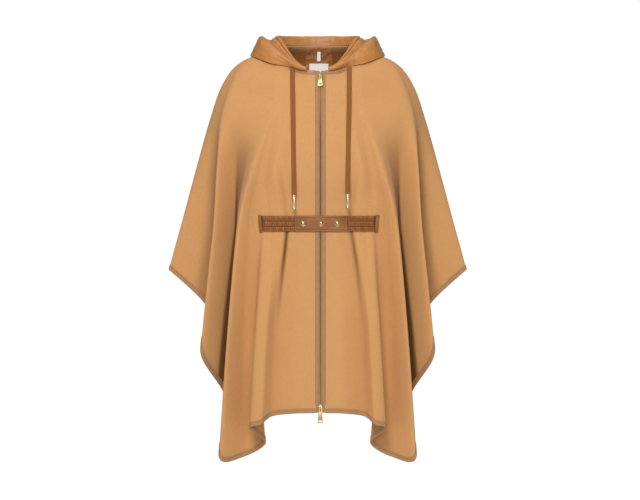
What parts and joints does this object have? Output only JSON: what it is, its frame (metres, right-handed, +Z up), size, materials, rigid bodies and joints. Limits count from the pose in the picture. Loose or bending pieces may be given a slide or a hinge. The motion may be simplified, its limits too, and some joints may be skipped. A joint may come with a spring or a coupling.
{
  "type": "hooded zip-front cape, worn with no wearer",
  "caption": "Hooded wool-like cape, filled out as worn: zip front, gathered belt across the front, soft nylon hood with drawcords, pointed handkerchief hem.",
  "frame": {"origin": "middle of the neck at the height where the cape rests on the shoulders", "axes": "+Z up, the front faces -Y, the wearer's left is +X"},
  "size_m": [0.7492, 0.3339, 1.0693],
  "materials": {
    "wool": "felted, matte with a faint nap",
    "nylon": "smooth padded nylon, satin",
    "tape": "ribbed grosgrain, matte",
    "cord": "flat woven, matte",
    "leather": "smooth leather, satin",
    "ruched": "gathered nylon, satin",
    "lining": "twill, matte",
    "gold": "pale gold plating, polished",
    "white": "plain woven, matte",
    "chain": "moulded nylon coil, satin"
  },
  "bodies": {
    "cape": {"front_left": "wool", "front_right": "wool", "back": "wool", "hem_binding_front_left": "tape", "hem_binding_front_right": "tape", "hem_binding_back": "tape", "neck_binding_left": "tape", "neck_binding_right": "tape", "front_band_left": "tape", "front_band_right": "tape", "zip_chain": "chain", "top_slider": "gold", "bottom_slider": "gold", "belt_tab": "leather", "belt_ruched_left": "ruched", "belt_ruched_right": "ruched", "belt_welt_left": "leather", "belt_welt_right": "leather", "belt_stud_1": "gold", "belt_stud_2": "gold", "belt_stud_3": "gold", "hood_left": "nylon", "hood_right": "nylon", "hood_stud": "gold", "nylon_panel": "ruched", "lining_left": "lining", "lining_right": "lining", "hang_loop": "white", "neck_label": "white", "drawcord_left": "cord", "drawcord_right": "cord", "aglet_left": "gold", "aglet_right": "gold"},
    "top_tab": {"top_pull": "gold"},
    "bottom_tab": {"bottom_pull": "gold"}
  },
  "joints": [
    {"name": "top_pull_hinge", "type": "hinge", "parent": "cape", "child": "top_tab", "pos_m": [0.00686, -0.08749, -0.07952], "axis": [-1, 0, 0], "range_deg": [0, 150]},
    {"name": "bottom_pull_hinge", "type": "hinge", "parent": "cape", "child": "bottom_tab", "pos_m": [0.00686, -0.16078, -0.91057], "axis": [-1, 0, 0], "range_deg": [0, 150]}
  ]
}
